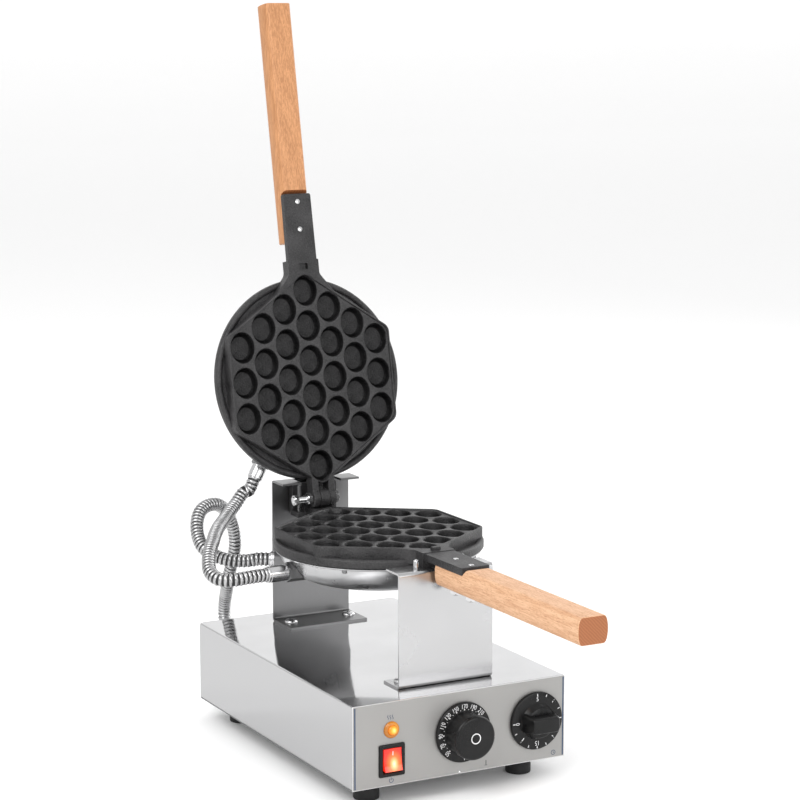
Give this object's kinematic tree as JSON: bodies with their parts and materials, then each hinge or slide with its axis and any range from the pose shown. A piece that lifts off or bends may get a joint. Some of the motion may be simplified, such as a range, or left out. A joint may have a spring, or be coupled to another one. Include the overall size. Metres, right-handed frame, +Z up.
{
  "type": "bubble waffle maker",
  "caption": "Countertop bubble waffle maker: two round irons with egg-shaped cavities and wooden handles, hinged open over a steel control base.",
  "frame": {"origin": "on the ground, under the middle of the machine's bounding box, measured without its two hoses", "axes": "+Z up, -Y to the front with the controls and the lower handle, +X to the right seen from the front"},
  "size_m": [0.3083, 0.6843, 0.7715],
  "materials": {
    "polished_steel": "polished stainless sheet, soft reflections",
    "brushed_steel": "satin stainless sheet with a fine horizontal grain",
    "grey_steel": "plain grey steel",
    "cast_aluminium": "cast, with a dark grainy non-stick coat",
    "zinc_steel": "bright zinc and chrome plated fasteners and conduit",
    "black_plastic": "black, satin",
    "black_rubber": "black, matt",
    "beech": "oiled pale beech, grain along the handle",
    "amber_lens": "clear amber, domed",
    "red_lens": "translucent red, lit from behind",
    "ceramic": "white fired ceramic",
    "bronze": "sintered bronze"
  },
  "bodies": {
    "base": {"base_cover": "polished_steel", "bottom_plate": "brushed_steel", "front_panel": "polished_steel", "control_overlay": "brushed_steel", "back_panel": "brushed_steel", "foot_front_left": "black_rubber", "foot_front_right": "black_rubber", "foot_rear_left": "black_rubber", "foot_rear_right": "black_rubber", "rear_bracket": "grey_steel", "front_bracket": "polished_steel", "rear_bracket_screw_left": "zinc_steel", "rear_bracket_screw_right": "zinc_steel", "front_bracket_screw_left": "zinc_steel", "front_bracket_screw_right": "zinc_steel", "stop_pin_left": "zinc_steel", "stop_pin_right": "zinc_steel", "pivot_head": "cast_aluminium", "pivot_bush": "bronze", "pivot_nut": "zinc_steel", "hinge_pin": "zinc_steel", "hinge_nut": "zinc_steel", "hinge_lock_nut": "zinc_steel", "stay_rod": "grey_steel", "switch_housing": "black_plastic", "lamp_bezel": "amber_lens", "lamp_lens": "amber_lens", "thermostat_body": "grey_steel", "timer_body": "grey_steel", "terminal_block": "ceramic", "cord_gland": "black_plastic", "supply_gland_base": "zinc_steel", "link_hose": "zinc_steel", "supply_hose": "zinc_steel", "lower_plate": "cast_aluminium", "lower_cover": "polished_steel", "lower_element": "grey_steel", "lower_handle": "beech", "lower_handle_bolt_near": "zinc_steel", "lower_handle_nut_near": "zinc_steel", "lower_handle_bolt_far": "zinc_steel", "lower_handle_nut_far": "zinc_steel", "link_gland_lower": "zinc_steel", "supply_gland_iron": "zinc_steel"},
    "upper_iron": {"upper_plate": "cast_aluminium", "upper_cover": "polished_steel", "upper_element": "grey_steel", "upper_handle": "beech", "upper_handle_bolt_near": "zinc_steel", "upper_handle_nut_near": "zinc_steel", "upper_handle_bolt_far": "zinc_steel", "upper_handle_nut_far": "zinc_steel", "link_gland_upper": "zinc_steel"},
    "thermostat": {"thermostat_knob": "black_plastic", "thermostat_shaft": "zinc_steel"},
    "timer": {"timer_knob": "black_plastic", "timer_shaft": "zinc_steel"},
    "rocker": {"power_rocker": "red_lens"}
  },
  "joints": [
    {"name": "lid_hinge", "type": "hinge", "parent": "base", "child": "upper_iron", "pos_m": [0.00561, 0.20566, 0.24365], "axis": [1, 0, 0], "range_deg": [0, 101.1], "deforming": ["link_hose"]},
    {"name": "thermostat_turn", "type": "hinge", "parent": "base", "child": "thermostat", "pos_m": [0.00661, -0.10694, 0.064], "axis": [0, 1, 0], "range_deg": [0, 300]},
    {"name": "timer_turn", "type": "hinge", "parent": "base", "child": "timer", "pos_m": [0.09061, -0.10694, 0.0635], "axis": [0, 1, 0], "range_deg": [0, 270]},
    {"name": "power_switch", "type": "hinge", "parent": "base", "child": "rocker", "pos_m": [-0.07209, -0.09194, 0.047], "axis": [1, 0, 0], "range_deg": [0, 14]}
  ]
}
